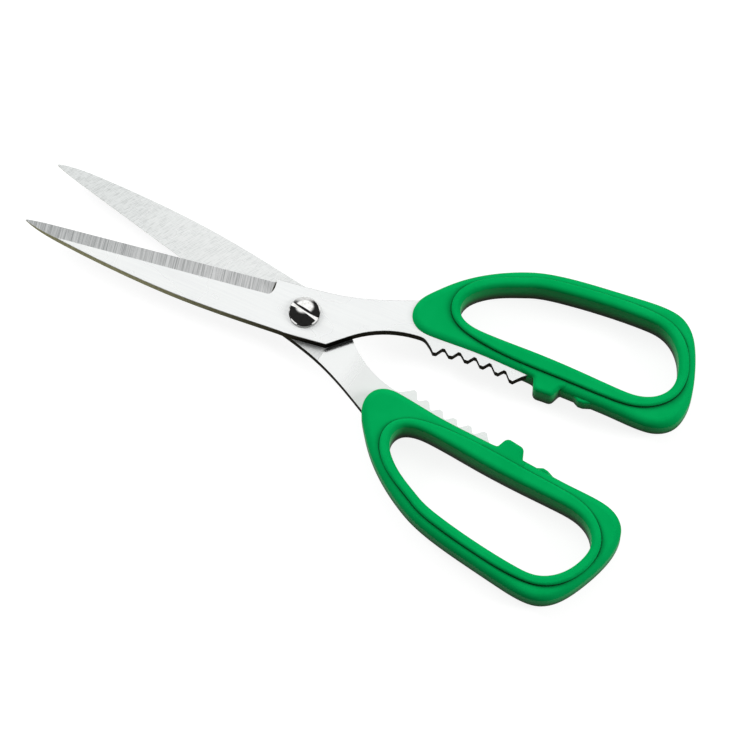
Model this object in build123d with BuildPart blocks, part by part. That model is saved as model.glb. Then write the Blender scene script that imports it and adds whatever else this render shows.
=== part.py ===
from build123d import *
from math import atan2, cos, radians, sin, sqrt, tan
import os

# Poultry shears, millimetres. They lie flat on a table, opened a little.
# Origin: on the table under the pivot. +X runs along the centre line to the
# grips, +Z is up. Both halves are one shape: the rear half is the front half
# turned over about the centre line. A half is drawn closed in its own frame:
# pivot at the origin, z = 0 on the shear plane, z outwards through the steel,
# and y towards its own grip.

# ---- pose and stack through the pivot ----
open_angle = 13.2          # between the two halves as they lie
grip_half = 6.0            # half thickness of a grip, the shear plane's height
blade_gap = 0.10           # between the two inner faces
plate = 3.3                # steel at the pivot and the grips
relief = 0.08              # the shank's inner face lies this much deeper
relief_start = 11.0        # where the ground inner face ends

# ---- blade ----
blade_length = 90.9        # pivot to point
point_plate = 2.9          # steel at the point
taper_start = 25.0         # the outer face starts to fall here
edge_heel = (-11.4, 7.35)  # pivot end of the cutting edge
toe_back = 11.1            # straight edge ends this far from the point
toe_height = 1.72          # and this far off the centre line
edge_land = 0.10           # blunt height left at the edge
bevel_angle = 31.0         # bevel to the inner face, degrees
bevel_end_round = 1.7      # where the grinding wheel left the bevel
bevel_reach = 12.0         # past both sides of the bevel
spine_depth = 8.28         # deepest point of the spine
spine_belly = 20.0         # its distance from the pivot
edge_break = 0.2           # rounding of the outer face's rim

# ---- shank and toothed tang ----
corner_x = 9.55            # corner behind the pivot on the spine side
corner_y = -7.4
corner_round = 0.5
throat_start = (15.2, -2.7)
shank_crest = (34.3, 4.7)
tooth_count = 6
tooth_start = 41.2         # middle of the first tooth
tooth_pitch = 4.94
tooth_depth = 1.75
tooth_land = 1.1           # flat on top of a tooth
tooth_steep = 1.35         # run of the flank that faces the end of the grip
tooth_shallow = 1.75       # run of the flank that faces the pivot
tooth_round = 0.25
tooth_arc_middle = 52.5    # the tips lie on a shallow arc
tooth_arc_height = 2.5
tooth_arc_radius = 64.0
tang_end = 84.0
tang_lead = 2.8            # last tooth to the narrow end of the tang

# ---- grip ----
rim_step = 1.3             # flange under the raised rim
flange_round = 2.4
rim_outer_round = 0.8
rim_inner_round = 1.6
mould_gap = 0.03           # plastic to steel
bump_left = 73.2           # stop bump, ends of its flat face
bump_right = 79.1
bump_step = 1.2            # bump under the raised rim
bump_round = 1.3
stop_gap = 0.15            # stop face to centre line when closed
nub_left = 87.1            # nub beside it, ends of its flat top
nub_right = 88.7
nub_top = 1.8              # its height above the centre line
nub_step = 3.0             # nub under the raised rim
nub_round = 0.8

# ---- pivot ----
head_radius = 4.8
head_rim = 1.1
head_height = 2.3
head_break = 0.3
head_gap = 0.05            # under the head
slot_width = 1.3
slot_depth = 1.35
slot_turn = -6.8
stem_radius = 2.5
shoulder_step = 0.5        # the shoulder is this much thicker than the stem
running_gap = 0.04         # shoulder in the front half
stem_gap = 0.05            # stem in the rear half, washer and nut
stem_chamfer = 0.4
washer_radius = 4.4
washer_plate = 0.6
washer_slit = 0.8
nut_flats = 8.0            # across flats
nut_chamfer = 0.5
nut_chamfer_rise = 1.0     # over the whole cone outside the nut

# ---- worked out ----
shoulder_radius = stem_radius + shoulder_step
inner_z = blade_gap / 2
outer_z = inner_z + plate
front_top = grip_half + outer_z
head_seat = front_top + head_gap
rear_inner = grip_half - inner_z
rear_outer = rear_inner - plate
washer_bottom = rear_outer - washer_plate
head_top = head_seat + head_height
dome_seat = head_seat + head_rim
dome_base = head_radius - head_break
dome_drop = head_height - head_rim
dome_radius = (dome_base**2 + dome_drop**2) / (2 * dome_drop)
dome_middle = head_top - dome_radius + sqrt(dome_radius**2 - dome_base**2 / 4)
nut_cone = nut_flats / 2 + nut_chamfer
edge_toe = (toe_back - blade_length, toe_height)
edge_slope = atan2(edge_heel[1] - edge_toe[1], edge_heel[0] - edge_toe[0])
edge_dir = (-cos(edge_slope), -sin(edge_slope))
bevel_rise = tan(radians(bevel_angle))
flange_half = grip_half - rim_step
flange_edge = min(flange_round, 0.81 * flange_half)
bump_half = grip_half - bump_step
nub_half = grip_half - nub_step
half_open = open_angle / 2
front_half = Plane((0, 0, grip_half), (cos(radians(half_open)), sin(radians(half_open)), 0), (0, 0, 1))
rear_half = Plane((0, 0, grip_half), (cos(radians(half_open)), -sin(radians(half_open)), 0), (0, 0, -1))


def tip_line(x):
    """Height of the tooth tips' arc above the centre line."""
    across = x - tooth_arc_middle
    return tooth_arc_height - tooth_arc_radius + sqrt(tooth_arc_radius**2 - across**2)


def tooth_row():
    """Corners of the toothed edge, from the pivot to the end of the grip."""
    corners = []
    for i in range(tooth_count):
        middle = tooth_start + i * tooth_pitch
        left = middle - tooth_land / 2
        right = middle + tooth_land / 2
        floor = right + tooth_steep
        corners += [(left, tip_line(left)), (right, tip_line(right)), (floor, tip_line(floor) + tooth_depth)]
        if i < tooth_count - 1:
            rise = left + tooth_pitch - tooth_shallow
            corners.append((rise, tip_line(rise) + tooth_depth))
    return corners


# Tang inside the grip: corners and their rounding, away from the pivot and back.
pocket_mouth = (27.0, 14.16)
tang_corners = [(35.0, 17.04), (44.0, 10.2), (60.0, 9.0), (tang_end, 7.3), (tang_end, 5.2),
                (tooth_row()[-1][0] + tang_lead, 4.7)]
tang_rounds = [2.2, 2.0, 8.0, 0.9, 0.9, 3.0]

# Outlines of the grip in the frame of its half, as far out as it reaches.
grip_points = [
    (60.0, 36.2), (49.9, 32.0), (39.9, 25.4), (34.6, 20.3), (31.6, 16.6), (30.4, 12.8), (31.2, 9.2), (34.2, 6.6),
    (39.5, 5.7), (52.0, 5.5), (68.0, 4.2), (84.0, 3.0), (97.0, 2.2), (106.3, 1.4), (112.2, 2.0), (116.5, 4.8),
    (118.6, 10.2), (118.5, 16.6), (117.1, 23.1), (114.9, 29.6), (112.0, 34.7), (107.9, 38.0), (102.5, 39.3),
    (94.0, 39.4), (82.0, 39.0), (71.0, 38.3),
]
hole_points = [
    (61.0, 30.6), (53.0, 27.6), (47.9, 24.6), (44.9, 21.5), (43.9, 18.2), (44.9, 15.3), (48.2, 13.2), (54.0, 12.2),
    (70.0, 11.5), (86.0, 10.3), (97.0, 9.2), (104.2, 9.2), (109.6, 11.5), (112.4, 15.5), (112.4, 20.4), (110.7, 25.3),
    (107.7, 29.3), (103.4, 32.0), (97.0, 33.0), (84.0, 33.1), (71.0, 32.4),
]
rim_points = [
    (61.0, 33.8), (52.0, 30.5), (46.0, 27.2), (42.6, 23.6), (41.0, 19.2), (41.9, 15.0), (45.0, 11.8), (51.0, 9.4),
    (68.0, 6.8), (84.0, 5.9), (96.0, 5.2), (104.5, 5.7), (110.5, 8.4), (114.5, 12.9), (115.7, 18.3), (114.7, 24.1),
    (111.7, 29.7), (106.6, 34.0), (99.0, 36.0), (84.0, 36.4), (71.0, 35.7),
]

# Corner rounding of the stop bump and of the nub, away from the pivot.
bump_rounds = [1.5, 0.9, 1.8, 1.8, 1.2, 0.5]
nub_rounds = [0.2, 1.2, 0.8, 0.8, 1.0]

# ---- what the wheel takes off along the cutting edge ----
bevel_plane = Plane((*edge_heel, inner_z), (-edge_dir[1], edge_dir[0], 0), (*edge_dir, 0))
with BuildPart() as bevel_cutter:
    with BuildSketch(bevel_plane):
        with BuildLine():
            Polyline((-bevel_reach, edge_land - bevel_reach * bevel_rise),
                     (bevel_reach, edge_land + bevel_reach * bevel_rise),
                     (-bevel_reach, edge_land + bevel_reach * bevel_rise), close=True)
        make_face()
    extrude(amount=blade_length)
    heel_face = bevel_cutter.faces().sort_by(Axis.X)[-1]
    fillet(heel_face.edges().sort_by(Axis.Y)[0], radius=bevel_end_round)

# ---- outline of a steel half ----
with BuildSketch() as half_outline:
    with BuildLine():
        # cutting edge, from the point to the heel
        point = (-blade_length, 0.0)
        Spline(point, (1.0 - blade_length, 0.5), (4.5 - blade_length, 1.08), edge_toe,
               tangents=[(0.5, 1.0), (-edge_dir[0], -edge_dir[1])])
        Line(edge_toe, edge_heel)
        # outer edge of the shank, into the grip
        outer = Spline(edge_heel, (0.0, 8.2), (10.0, 9.4), (20.0, 11.85), (31.0, 15.6),
                       tangents=[(-edge_dir[0], -edge_dir[1]), (1.0, 0.36)])
        # hidden part of the tang
        FilletPolyline(outer @ 1, *tang_corners, tooth_row()[-1], radius=tang_rounds)
        # teeth, back towards the pivot
        FilletPolyline(*reversed(tooth_row()), radius=tooth_round)
        # spine, from the point to the corner behind the pivot
        Spline(point, (3.4 - blade_length, -1.35), (13.4 - blade_length, -3.55), (-0.55 * blade_length, -7.05),
               (-spine_belly, -spine_depth), (-5.0, -8.18), (corner_x, corner_y),
               tangents=[(1.0, -0.5), (1.0, 0.07)])
        # throat, and crest of the shank before the first tooth
        flank = Line((corner_x, corner_y), throat_start)
        throat = TangentArc(throat_start, shank_crest, tangent=flank % 1)
        Spline(shank_crest, (37.1, 4.45), (38.7, 3.35), tooth_row()[0], tangents=[throat % 1, (0.6, -0.8)])
    make_face()

# ---- one steel half, closed, without its pivot hole ----
with BuildPart() as steel:
    with BuildSketch(Plane.XY.offset(inner_z)):
        add(half_outline.sketch)
    extrude(amount=plate)
    # outer face falls towards the point
    with BuildSketch(Plane.XZ):
        with BuildLine():
            Polyline((-taper_start, outer_z), (-blade_length - 1, inner_z + point_plate),
                     (-blade_length - 1, outer_z + 1), (-taper_start, outer_z + 1), close=True)
        make_face()
    extrude(amount=2 * spine_belly, both=True, mode=Mode.SUBTRACT)
    # corner behind the pivot
    corner = steel.edges().filter_by(Axis.Z).sort_by_distance(Vertex(corner_x, corner_y, outer_z))[0]
    fillet(corner, radius=corner_round)
    # rim of the outer face, all but the cutting edge and the teeth
    rim_marks = [(-60, -6, outer_z - 0.2), (-10, -8.2, outer_z), (12.4, -5.05, outer_z), (28, 3.7, outer_z),
                 (10, 9.4, outer_z)]
    outer_rim = [steel.edges().sort_by_distance(Vertex(*mark))[0] for mark in rim_marks]
    fillet(outer_rim, radius=edge_break)
    # bevel, its pivot end rounded by the wheel
    add(bevel_cutter.part, mode=Mode.SUBTRACT)
    # the shank clears its partner
    with BuildSketch(Plane.XY.offset(inner_z)):
        with Locations((relief_start, 0)):
            Rectangle(tang_end, tang_end, align=(Align.MIN, Align.CENTER))
    extrude(amount=relief, mode=Mode.SUBTRACT)

# ---- steel parts ----
with BuildPart() as front_blade:
    add(steel.part.moved(Location(front_half)))
    with BuildSketch():
        Circle(shoulder_radius + running_gap)
    extrude(amount=2 * grip_half, mode=Mode.SUBTRACT)
front_blade.part.label = "front_blade"

with BuildPart() as rear_blade:
    add(steel.part.moved(Location(rear_half)))
    with BuildSketch():
        Circle(stem_radius + stem_gap)
    extrude(amount=2 * grip_half, mode=Mode.SUBTRACT)
rear_blade.part.label = "rear_blade"

# ---- stop bump and nub, where the grips meet ----
with BuildPart() as stop_bump:
    with BuildSketch(Plane.XY.offset(-bump_half)):
        with BuildLine():
            outer = FilletPolyline((66.0, 7.0), (67.4, 4.9), (bump_left - 1.1, 4.0), (bump_left, stop_gap),
                                   (bump_right, stop_gap), (bump_right + 1.6, 3.4), (bump_right + 3.7, 4.2),
                                   (bump_right + 3.7, 7.0), radius=bump_rounds)
            Line(outer @ 1, outer @ 0)
        make_face()
    extrude(amount=2 * bump_half)
    rims = stop_bump.edges().group_by(Axis.Z)
    fillet([e for e in rims[0] + rims[-1] if e.center().Y < 5], radius=bump_round)

with BuildPart() as nub:
    with BuildSketch(Plane.XY.offset(-nub_half)):
        with BuildLine():
            outer = FilletPolyline((bump_right + 0.7, 6.0), (bump_right + 0.7, 3.3), (nub_left - 2.5, 3.3),
                                   (nub_left, nub_top), (nub_right, nub_top), (nub_right + 2.9, 2.7),
                                   (nub_right + 4.3, 6.0), radius=nub_rounds)
            Line(outer @ 1, outer @ 0)
        make_face()
    extrude(amount=2 * nub_half)
    rims = nub.edges().group_by(Axis.Z)
    fillet([e for e in rims[0] + rims[-1] if e.center().Y < 3.5], radius=nub_round)

# ---- one grip, closed ----
with BuildPart() as grip:
    with BuildSketch(Plane.XY.offset(-flange_half)):
        with BuildLine():
            Spline(*grip_points, periodic=True)
        make_face()
    extrude(amount=2 * flange_half)
    rims = grip.edges().group_by(Axis.Z)
    fillet(rims[0] + rims[-1], radius=flange_edge)
    # raised rim round the finger hole
    with BuildSketch(Plane.XY.offset(-grip_half)):
        with BuildLine():
            Spline(*rim_points, periodic=True)
        make_face()
    extrude(amount=2 * grip_half)
    rims = grip.edges().group_by(Axis.Z)
    fillet(rims[0] + rims[-1], radius=rim_outer_round)
    # finger hole
    with BuildSketch(Plane.XY.offset(-grip_half)):
        with BuildLine():
            Spline(*hole_points, periodic=True)
        make_face()
    extrude(amount=2 * grip_half, mode=Mode.SUBTRACT)
    rims = grip.edges().group_by(Axis.Z)
    fillet(rims[0].sort_by(SortBy.LENGTH)[0], radius=rim_inner_round)
    fillet(grip.edges().group_by(Axis.Z)[-1].sort_by(SortBy.LENGTH)[0], radius=rim_inner_round)
    add(stop_bump.part)
    add(nub.part)
    # pocket for the tang
    with BuildSketch(Plane.XY.offset(inner_z + relief - mould_gap)):
        with BuildLine():
            FilletPolyline(pocket_mouth, *tang_corners, tooth_row()[-1], radius=tang_rounds)
            Polyline(tooth_row()[-1], (60.0, 0.0), (pocket_mouth[0], 0.0), pocket_mouth)
        make_face()
        offset(amount=mould_gap)
    extrude(amount=plate - relief + 2 * mould_gap, mode=Mode.SUBTRACT)

with BuildPart() as front_handle:
    add(grip.part.moved(Location(front_half)))
front_handle.part.label = "front_handle"

with BuildPart() as rear_handle:
    add(grip.part.moved(Location(rear_half)))
rear_handle.part.label = "rear_handle"

# ---- pivot ----
with BuildPart() as pivot_screw:
    with BuildSketch(Plane.XZ):
        with BuildLine():
            Polyline((0, 0), (stem_radius - stem_chamfer, 0), (stem_radius, stem_chamfer), (stem_radius, rear_inner),
                     (shoulder_radius, rear_inner), (shoulder_radius, head_seat), (head_radius, head_seat),
                     (head_radius, dome_seat - head_break), (dome_base, dome_seat))
            ThreePointArc((dome_base, dome_seat), (dome_base / 2, dome_middle), (0, head_top))
            Line((0, head_top), (0, 0))
        make_face()
    revolve(axis=Axis.Z)
    slot_dir = (cos(radians(slot_turn)), sin(radians(slot_turn)), 0)
    slot_plane = Plane((0, 0, head_top - slot_depth), slot_dir, (0, 0, 1))
    with BuildSketch(slot_plane):
        Rectangle(3 * head_radius, slot_width)
    extrude(amount=head_height, mode=Mode.SUBTRACT)
pivot_screw.part.label = "pivot_screw"

with BuildPart() as spring_washer:
    with BuildSketch(Plane.XY.offset(washer_bottom)):
        Circle(washer_radius)
        Circle(stem_radius + stem_gap, mode=Mode.SUBTRACT)
        Rectangle(washer_radius + 1, washer_slit, align=(Align.MAX, Align.CENTER), mode=Mode.SUBTRACT)
    extrude(amount=washer_plate)
spring_washer.part.label = "spring_washer"

with BuildPart() as pivot_nut:
    with BuildSketch():
        RegularPolygon(nut_flats / 2, 6, major_radius=False)
        Circle(stem_radius + stem_gap, mode=Mode.SUBTRACT)
    extrude(amount=washer_bottom)
    with BuildSketch(Plane.XZ):
        with BuildLine():
            Polyline((nut_cone, 0), (nut_cone + 1.5, 0), (nut_cone + 1.5, nut_chamfer_rise), close=True)
        make_face()
    revolve(axis=Axis.Z, mode=Mode.SUBTRACT)
pivot_nut.part.label = "pivot_nut"

os.makedirs("parts", exist_ok=True)
for piece in (front_blade, rear_blade, front_handle, rear_handle, pivot_screw, spring_washer, pivot_nut):
    export_step(piece.part, "parts/" + piece.part.label + ".step")
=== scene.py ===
from math import cos, radians, sin

import bpy
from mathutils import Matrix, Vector


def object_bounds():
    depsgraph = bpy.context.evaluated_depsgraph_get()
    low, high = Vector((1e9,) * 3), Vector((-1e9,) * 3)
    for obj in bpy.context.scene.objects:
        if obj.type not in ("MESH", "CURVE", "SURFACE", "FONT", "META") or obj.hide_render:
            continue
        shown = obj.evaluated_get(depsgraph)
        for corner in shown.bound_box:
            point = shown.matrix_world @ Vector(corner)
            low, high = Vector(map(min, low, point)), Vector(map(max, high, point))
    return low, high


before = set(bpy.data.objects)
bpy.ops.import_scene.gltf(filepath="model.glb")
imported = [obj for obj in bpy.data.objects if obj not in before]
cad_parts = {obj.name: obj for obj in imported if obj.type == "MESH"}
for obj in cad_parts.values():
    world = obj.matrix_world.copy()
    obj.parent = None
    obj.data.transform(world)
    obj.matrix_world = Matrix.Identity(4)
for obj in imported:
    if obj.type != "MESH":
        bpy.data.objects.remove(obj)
cad_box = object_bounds()

# Poultry shears: two ground steel halves on a slotted screw, with green moulded grips. In metres.
MM = 0.001
HALF_OPEN = 6.6              # each half is turned this far from the centre line, degrees

# places along a half, from the pivot; the blade lies towards minus
GROUND_END = (10.5 * MM, 11.5 * MM)        # the inner face's ground part ends here
POLISHED_END = (26 * MM, 18 * MM)          # and the polished strip behind it fades here
TIP_ZONE = (-30 * MM, -85 * MM)            # painted shade: the ground and hatched faces darken towards the point
OLIVE_ZONE = (-60 * MM, 5 * MM)            # painted light and shade on the rolled edge: lit olive at the point, painted shade to black towards the pivot

# steepness of a face, by the upright part of its normal
FACE_FLAT = (0.93, 0.97)                   # inner and outer faces, without the bevel
WALL_STEEP = (0.80, 0.60)
GRIP_WALL_STEEP = (0.7, 0.2)
GRIP_WALL_DARK = (8.2 * MM, 2 * MM)        # painted shade: a grip's wall darkens down to the table
CREASE_REACH = 2.4 * MM                    # painted shade in the crease beside the raised rim reaches this far

# camera and picture
AZIMUTH = radians(26.783)
ELEVATION = radians(69.81)
TARGET = Vector((24.231, -6.019, 6.0)) * MM
DISTANCE = 1474.25                         # mm
PX_PER_MM = 3.31
PICTURE_PX = 734
SENSOR = 36.0                              # mm

FLOOR_SIZE = 6.0
FLOOR_GAP = 0.2 * MM


# ---- small helpers for node trees ----
class Tree:
    """Builds one material's or world's nodes."""

    def __init__(self, owner):
        owner.use_nodes = True
        self.nodes = owner.node_tree.nodes
        self.links = owner.node_tree.links
        self.nodes.clear()

    def node(self, kind, settings=None, **inputs):
        made = self.nodes.new("ShaderNode" + kind)
        for name, value in (settings or {}).items():
            setattr(made, name, value)
        for name, value in inputs.items():
            self.put(made, name.replace("_", " "), value)
        return made

    def put(self, node, name, value):
        by_number = name[0] == "i" and name[1:].isdigit()
        socket = node.inputs[int(name[1:]) if by_number else name]
        if hasattr(value, "is_output"):
            self.links.new(value, socket)
        else:
            socket.default_value = value

    def math(self, operation, first, second=0.0, clamp=False):
        settings = {"operation": operation, "use_clamp": clamp}
        return self.node("Math", settings, i0=first, i1=second).outputs[0]

    def add(self, first, second):
        return self.math("ADD", first, second)

    def times(self, first, second):
        return self.math("MULTIPLY", first, second)

    def most(self, first, second):
        return self.math("MAXIMUM", first, second)

    def ramp(self, value, low, high, to_low=0.0, to_high=1.0):
        """value from low to high, eased, becomes to_low to to_high."""
        settings = {"interpolation_type": "SMOOTHSTEP"}
        made = self.node("MapRange", settings, Value=value, From_Min=low, From_Max=high, To_Min=to_low,
                         To_Max=to_high)
        return made.outputs[0]

    def mix(self, share, first, second):
        made = self.node("Mix", {"data_type": "RGBA"}, i0=share)
        self.put(made, "i6", first)
        self.put(made, "i7", second)
        return made.outputs[2]

    def noise(self, place, scale, detail=2.0, rough=0.5):
        made = self.node("TexNoise", Vector=place, Scale=scale, Detail=detail, Roughness=rough)
        return made.outputs[0]

    def stretched(self, place, turn, along, across):
        """The place turned by turn degrees about Z and squeezed, for lines that run along its X."""
        turned = self.node("Mapping", Vector=place, Rotation=(0, 0, radians(turn)))
        return self.node("Mapping", Vector=turned.outputs[0], Scale=(along, across, along)).outputs[0]


def rgb(red, green, blue):
    """Linear colour from the values 0 to 255 that a picture shows."""
    shown = [v / 255 for v in (red, green, blue)]
    return tuple(v / 12.92 if v < 0.04 else ((v + 0.055) / 1.055) ** 2.4 for v in shown) + (1,)


def new_material(name):
    made = bpy.data.materials.new(name)
    return made, Tree(made)


# ---- steel of the two halves ----
def blade_steel(name, turn, side):
    """Ground stainless steel. turn lays the half along X, side is +1 where its outer face is up."""
    made, t = new_material(name)
    place = t.node("TexCoord").outputs["Object"]
    own = t.node("Mapping", Vector=place, Rotation=(0, 0, radians(turn))).outputs[0]
    own_x = t.node("SeparateXYZ", Vector=own).outputs[0]
    normal = t.node("SeparateXYZ", Vector=t.node("NewGeometry").outputs["True Normal"]).outputs[2]
    up = t.times(normal, side)
    wall = t.ramp(t.math("ABSOLUTE", normal), *WALL_STEEP)
    outer = t.ramp(up, *FACE_FLAT)
    inner = t.ramp(t.times(up, -1.0), *FACE_FLAT)
    bevel = t.math("SUBTRACT", 1.0, t.add(t.add(outer, inner), wall), clamp=True)

    # grinding lines: across the bevel, crossed on the inner face, along the outer face
    across = t.noise(t.stretched(own, 78, 60, 5000), 1.0, 2.0)
    coarse = t.noise(t.stretched(own, 78, 40, 2000), 1.0, 3.0)
    cross_a = t.noise(t.stretched(own, 113, 380, 5200), 1.0, 1.0)
    cross_b = t.noise(t.stretched(own, 4, 500, 4200), 1.0, 1.0)
    crossed = t.add(t.times(cross_a, 0.65), t.times(cross_b, 0.35))
    brushed = t.noise(t.stretched(own, 4, 40, 3200), 1.0, 2.0)
    speckle = t.noise(place, 2600, 3.0, 0.7)
    patch = t.noise(place, 60, 2.0)

    face = t.mix(t.ramp(brushed, 0.3, 0.7), rgb(239, 241, 241), rgb(244, 246, 245))
    streaks = t.add(t.times(across, 0.82), t.times(coarse, 0.18))
    # painted shade: the bevel's and the inner face's colours darken towards the point
    tip_shade = t.ramp(own_x, *TIP_ZONE)
    ground = t.mix(t.ramp(streaks, 0.30, 0.66),
                   t.mix(tip_shade, rgb(146, 148, 148), rgb(136, 139, 139)),
                   t.mix(tip_shade, rgb(208, 209, 209), rgb(198, 200, 200)))
    hatch = t.mix(t.ramp(crossed, 0.30, 0.56),
                  t.mix(tip_shade, rgb(212, 215, 214), rgb(188, 191, 190)),
                  t.mix(tip_shade, rgb(236, 238, 237), rgb(224, 227, 226)))
    shank = t.mix(t.ramp(patch, 0.35, 0.65), rgb(231, 233, 233), rgb(236, 238, 237))
    unground = t.ramp(own_x, *GROUND_END)
    inside = t.mix(unground, hatch, shank)
    # the rolled edge's colour is painted shade and a painted dark reflection, lit olive towards the
    # point
    edge_shade = t.ramp(own_x, *OLIVE_ZONE)
    rim = t.mix(t.ramp(speckle, 0.38, 0.62),
                t.mix(edge_shade, rgb(120, 118, 90), rgb(26, 24, 21)),
                t.mix(edge_shade, rgb(165, 163, 132), rgb(44, 41, 37)))
    colour = t.mix(bevel, t.mix(inner, face, inside), ground)
    colour = t.mix(wall, colour, rim)

    polished = t.times(t.times(inner, unground), t.ramp(own_x, *POLISHED_END))
    rough = t.add(t.times(wall, 0.25), t.ramp(patch, 0.3, 0.7, 0.24, 0.30))
    rough = t.math("SUBTRACT", rough, t.times(polished, 0.12))
    lines = t.add(t.times(bevel, streaks), t.times(inner, crossed))
    lines = t.add(lines, t.times(t.times(outer, brushed), 0.4))
    lines = t.add(lines, t.times(wall, speckle))
    bump = t.node("Bump", Height=lines, Strength=0.25, Distance=0.00003)
    # ground faces scatter much of the light, the polished shank and the rolled edges mirror it
    metal = t.add(t.times(t.most(polished, wall), 0.55), 0.42)
    shader = t.node("BsdfPrincipled", Base_Color=colour, Metallic=metal, Roughness=rough,
                    Normal=bump.outputs[0], Specular_Tint=(0.4, 0.4, 0.38, 1))
    t.node("OutputMaterial", Surface=shader.outputs[0])
    return made


# ---- polished screw ----
def screw_steel():
    made, t = new_material("screw_steel")
    place = t.node("TexCoord").outputs["Object"]
    spot = t.node("SeparateXYZ", Vector=place)
    squares = [t.math("POWER", spot.outputs[axis], 2.0) for axis in (0, 1)]
    radius = t.math("SQRT", t.add(*squares))
    rings = t.math("SINE", t.times(radius, 32000.0))
    dust = t.noise(place, 900, 3.0, 0.6)
    colour = t.mix(t.ramp(dust, 0.4, 0.75), rgb(246, 246, 245), rgb(222, 221, 217))
    rough = t.ramp(dust, 0.3, 0.7, 0.03, 0.09)
    lines = t.add(t.times(rings, 0.3), dust)
    bump = t.node("Bump", Height=lines, Strength=0.12, Distance=0.00002)
    shader = t.node("BsdfPrincipled", Base_Color=colour, Metallic=1.0, Roughness=rough,
                    Normal=bump.outputs[0])
    t.node("OutputMaterial", Surface=shader.outputs[0])
    return made


# ---- plain zinc-plated nut and washer ----
def fastener_steel():
    made, t = new_material("fastener_steel")
    place = t.node("TexCoord").outputs["Object"]
    grain = t.noise(place, 1500, 4.0, 0.6)
    cloud = t.noise(place, 350, 2.0)
    colour = t.mix(t.ramp(cloud, 0.35, 0.65), rgb(168, 170, 168), rgb(196, 198, 196))
    rough = t.ramp(grain, 0.3, 0.7, 0.32, 0.5)
    bump = t.node("Bump", Height=grain, Strength=0.3, Distance=0.00002)
    shader = t.node("BsdfPrincipled", Base_Color=colour, Metallic=1.0, Roughness=rough,
                    Normal=bump.outputs[0])
    t.node("OutputMaterial", Surface=shader.outputs[0])
    return made


# ---- green moulded plastic ----
def green_plastic():
    made, t = new_material("green_plastic")
    place = t.node("TexCoord").outputs["Object"]
    cloud = t.noise(place, 70, 3.0, 0.6)
    grain = t.noise(place, 3200, 3.0, 0.6)
    scuff = t.noise(t.stretched(place, 30, 120, 1500), 1.0, 2.0)
    colour = t.mix(t.ramp(cloud, 0.3, 0.7), rgb(0, 160, 82), rgb(4, 167, 88))
    # painted shade: the colour darkens where ambient occlusion finds a crease beside the raised rim
    nearby = t.node("AmbientOcclusion", {"only_local": True, "samples": 8}, Distance=CREASE_REACH)
    crease_shade = nearby.outputs["AO"]
    height = t.node("SeparateXYZ", Vector=place).outputs[2]
    normal = t.node("SeparateXYZ", Vector=t.node("NewGeometry").outputs["True Normal"]).outputs[2]
    # painted shade: steep grip walls darken to dark brown towards the table
    upright = t.ramp(t.math("ABSOLUTE", normal), *GRIP_WALL_STEEP)
    low_wall_shade = t.times(upright, t.ramp(height, *GRIP_WALL_DARK))
    colour = t.mix(t.ramp(crease_shade, 0.9, 0.5), colour, rgb(14, 34, 20))
    colour = t.mix(t.times(low_wall_shade, 0.94), colour, rgb(46, 30, 26))
    rough = t.add(t.ramp(grain, 0.3, 0.7, 0.30, 0.40), t.ramp(scuff, 0.62, 0.75, 0.0, 0.10))
    bump = t.node("Bump", Height=grain, Strength=0.25, Distance=0.00002)
    shader = t.node("BsdfPrincipled", Base_Color=colour, Roughness=rough, Normal=bump.outputs[0],
                    Specular_IOR_Level=0.006)
    t.node("OutputMaterial", Surface=shader.outputs[0])
    return made


plastic = green_plastic()
fastener = fastener_steel()
finishes = {
    "front_blade": blade_steel("front_blade_steel", -HALF_OPEN, 1),
    "rear_blade": blade_steel("rear_blade_steel", HALF_OPEN, -1),
    "front_handle": plastic,
    "rear_handle": plastic,
    "pivot_screw": screw_steel(),
    "spring_washer": fastener,
    "pivot_nut": fastener,
}
for name, finish in finishes.items():
    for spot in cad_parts[name].material_slots:
        spot.material = finish

# ---- floor: pale, white to the camera and in reflections, and it keeps the shadow ----
table = cad_box[0].z - FLOOR_GAP
bpy.ops.mesh.primitive_plane_add(size=FLOOR_SIZE, location=(0, 0, table))
floor = bpy.context.object
floor.name = "floor"
paint, t = new_material("floor_paint")
ray = t.node("LightPath")
bounced = t.most(ray.outputs["Is Glossy Ray"], ray.outputs["Is Transmission Ray"])
seen = t.most(ray.outputs["Is Camera Ray"], bounced)
base = t.node("BsdfDiffuse", Color=(0.25, 0.25, 0.25, 1))
glow = t.node("Emission", Color=(1, 1, 1, 1), Strength=t.times(seen, 0.86))
both = t.node("AddShader", i0=base.outputs[0], i1=glow.outputs[0])
t.node("OutputMaterial", Surface=both.outputs[0])
floor.data.materials.append(paint)

# ---- studio: a soft room lights everything, and only reflections see the four panels ----
scene = bpy.context.scene
world = bpy.data.worlds.new("room")
scene.world = world
t = Tree(world)
towards = t.node("TexCoord").outputs["Generated"]


def panel(direction, edge, middle, dark, bright):
    """Brightness of a soft round panel in that direction. edge and middle are cosines from its axis."""
    product = t.node("VectorMath", {"operation": "DOT_PRODUCT"}, i0=towards, i1=direction)
    return t.ramp(product.outputs["Value"], edge, middle, dark, bright)


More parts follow.
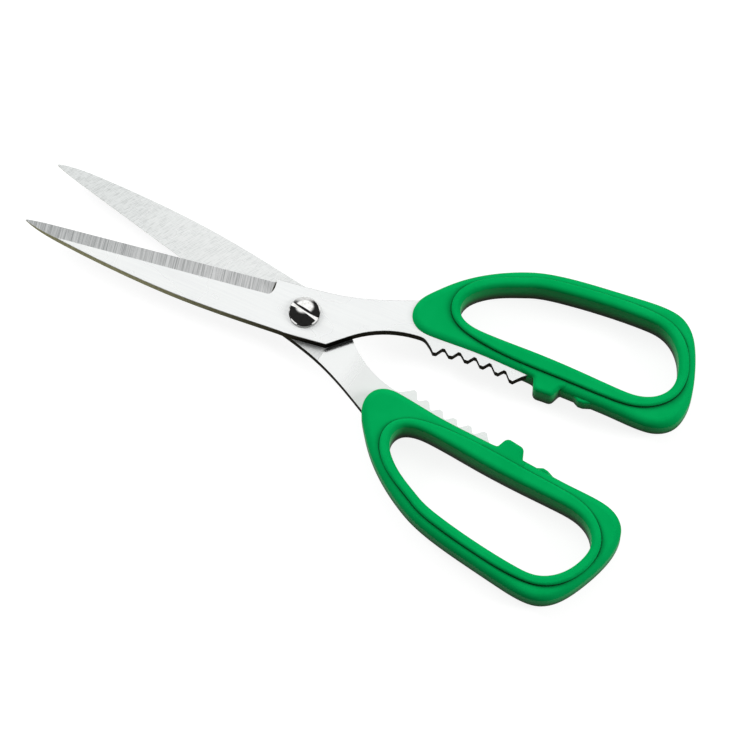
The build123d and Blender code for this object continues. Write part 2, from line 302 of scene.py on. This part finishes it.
room = panel((-0.32, 0.64, 0.70), 0.45, 0.92, 0.20, 0.93)
back_panel = panel((-0.277, 0.55, 0.788), 0.83, 0.91, 0.02, 1.1)
back_wall = panel((-0.45, 0.893, 0.0), 0.80, 0.95, 0.0, 0.8)
left_panel = panel((-0.524, -0.817, 0.242), 0.93, 0.97, 0.0, 1.0)
right_panel = panel((0.969, -0.065, 0.242), 0.93, 0.97, 0.0, 1.0)
mirrored = t.most(t.most(back_panel, back_wall), t.most(left_panel, right_panel))
ray = t.node("LightPath")
shiny = ray.outputs["Is Glossy Ray"]
level = t.add(t.times(mirrored, shiny), t.times(room, t.math("SUBTRACT", 1.0, shiny)))
level = t.most(level, ray.outputs["Is Camera Ray"])
sky = t.node("Background", Color=(1, 1, 1, 1), Strength=level)
t.node("OutputWorld", Surface=sky.outputs[0])


def lamp(name, place, aim, size, power):
    data = bpy.data.lights.new(name, "AREA")
    data.shape = "RECTANGLE"
    data.size, data.size_y = size
    data.energy = power
    made = bpy.data.objects.new(name, data)
    scene.collection.objects.link(made)
    made.location = place
    made.rotation_mode = "QUATERNION"
    made.rotation_quaternion = (Vector(aim) - Vector(place)).to_track_quat("-Z", "Y")
    made.visible_glossy = False


# ---- camera: a long lens, high in front and a little to the right, as the photograph was taken ----
back = Vector((sin(AZIMUTH) * cos(ELEVATION), -cos(AZIMUTH) * cos(ELEVATION), sin(ELEVATION)))
data = bpy.data.cameras.new("camera")
data.sensor_width = SENSOR
data.lens = PX_PER_MM * DISTANCE / PICTURE_PX * SENSOR
camera = bpy.data.objects.new("camera", data)
scene.collection.objects.link(camera)
camera.location = TARGET + back * DISTANCE * MM
camera.rotation_mode = "QUATERNION"
camera.rotation_quaternion = (-back).to_track_quat("-Z", "Y")
scene.camera = camera

lamp("left_side", (-1.3, 0.2, 0.8), (0, 0, 0), (0.6, 0.6), 14)
lamp("right_side", (1.3, 0.5, 0.8), (0, 0, 0), (0.6, 0.6), 14)

scene.view_settings.view_transform = "Standard"
